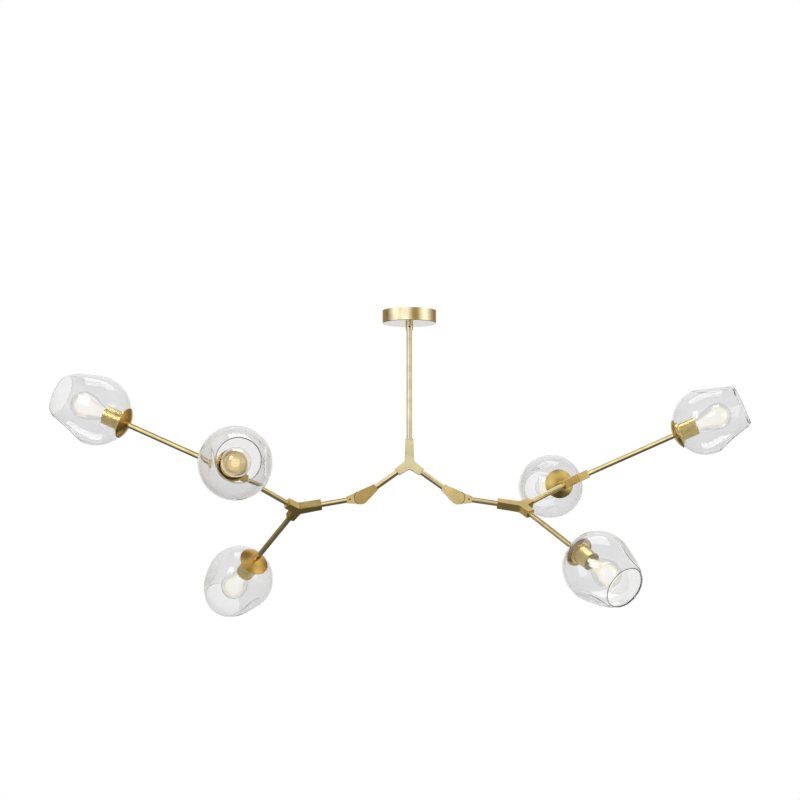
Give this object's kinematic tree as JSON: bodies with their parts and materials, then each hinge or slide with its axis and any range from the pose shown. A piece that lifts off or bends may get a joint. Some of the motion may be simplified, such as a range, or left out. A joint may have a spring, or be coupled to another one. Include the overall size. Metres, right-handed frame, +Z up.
{
  "type": "branch chandelier",
  "caption": "Branching ceiling chandelier: brass stem and swivelling arms of round rods and three-legged hubs, with clear blown-glass globe shades on domed caps.",
  "frame": {"origin": "centre of the crossbar's face against the ceiling, between its two slots", "axes": "+Z up along the stem, +X towards the right branch, -Y towards the front"},
  "size_m": [1.5462, 0.8808, 0.6751],
  "materials": {
    "brushed_brass": "satin brushed, clear lacquer",
    "canopy_brass": "turned and brushed round its axis, clear lacquer",
    "shade_glass": "clear, hand blown, slightly uneven",
    "bulb_glass": "clear, thin",
    "zinc_steel": "zinc plated",
    "dark_steel": "blackened",
    "terminal_plastic": "moulded",
    "holder_plastic": "moulded, heat resistant",
    "washer_plastic": "smooth",
    "cable_sheath": "smooth clear grey sheath",
    "filament": "coated filament sticks on a glass mount"
  },
  "bodies": {
    "root": {"ceiling_bracket": "zinc_steel", "bracket_nipple": "zinc_steel", "bracket_lock_nuts": "zinc_steel", "terminal_block": "terminal_plastic", "earth_screw": "zinc_steel", "stem_tube": "brushed_brass", "center_hub": "brushed_brass", "left_inner_rod": "brushed_brass", "right_inner_rod": "brushed_brass", "left_swivel_fork": "brushed_brass", "right_swivel_fork": "brushed_brass", "swivel_pivot_screws": "dark_steel", "swivel_washers": "washer_plastic", "stem_wiring": "cable_sheath"},
    "canopy": {"canopy": "canopy_brass", "canopy_collar": "brushed_brass", "collar_screw": "dark_steel"},
    "left_swivel": {"left_swivel_tongue": "brushed_brass", "left_tongue_screw": "dark_steel"},
    "left_branch": {"left_branch_rod": "brushed_brass", "left_branch_hub": "brushed_brass", "left_link_rod": "brushed_brass", "left_fork_hub": "brushed_brass", "left_upper_rod": "brushed_brass", "left_upper_shade": "shade_glass", "left_front_rod": "brushed_brass", "left_front_shade": "shade_glass", "left_lower_rod": "brushed_brass", "left_lower_shade": "shade_glass", "left_lamp_caps": "brushed_brass", "left_socket_shells": "brushed_brass", "left_lampholders": "holder_plastic", "left_shade_rings": "brushed_brass", "left_bulb_bases": "zinc_steel", "left_bulbs": "bulb_glass", "left_filaments": "filament", "left_lamp_nuts": "zinc_steel", "left_wiring": "cable_sheath"},
    "right_swivel": {"right_swivel_tongue": "brushed_brass", "right_tongue_screw": "dark_steel"},
    "right_branch": {"right_branch_rod": "brushed_brass", "right_branch_hub": "brushed_brass", "right_link_rod": "brushed_brass", "right_fork_hub": "brushed_brass", "right_upper_rod": "brushed_brass", "right_upper_shade": "shade_glass", "right_rear_rod": "brushed_brass", "right_rear_shade": "shade_glass", "right_lower_rod": "brushed_brass", "right_lower_shade": "shade_glass", "right_lamp_caps": "brushed_brass", "right_socket_shells": "brushed_brass", "right_lampholders": "holder_plastic", "right_shade_rings": "brushed_brass", "right_bulb_bases": "zinc_steel", "right_bulbs": "bulb_glass", "right_filaments": "filament", "right_lamp_nuts": "zinc_steel", "right_wiring": "cable_sheath"}
  },
  "joints": [
    {"name": "left_tilt", "type": "hinge", "parent": "root", "child": "left_swivel", "pos_m": [-0.10528, 0, -0.41194], "axis": [0, 1, 0], "range_deg": [-25, 12]},
    {"name": "left_roll", "type": "hinge", "parent": "left_swivel", "child": "left_branch", "pos_m": [-0.10528, 0, -0.41194], "axis": [-0.9848, 0, -0.1736], "range_deg": [-40, 40]},
    {"name": "right_tilt", "type": "hinge", "parent": "root", "child": "right_swivel", "pos_m": [0.10528, 0, -0.41194], "axis": [0, -1, 0], "range_deg": [-25, 12]},
    {"name": "right_roll", "type": "hinge", "parent": "right_swivel", "child": "right_branch", "pos_m": [0.10528, 0, -0.41194], "axis": [0.9898, 0, -0.1426], "range_deg": [-40, 40]},
    {"name": "canopy_slide", "type": "slide", "parent": "root", "child": "canopy", "axis": [0, 0, 1], "range_m": [-0.2, 0]}
  ]
}
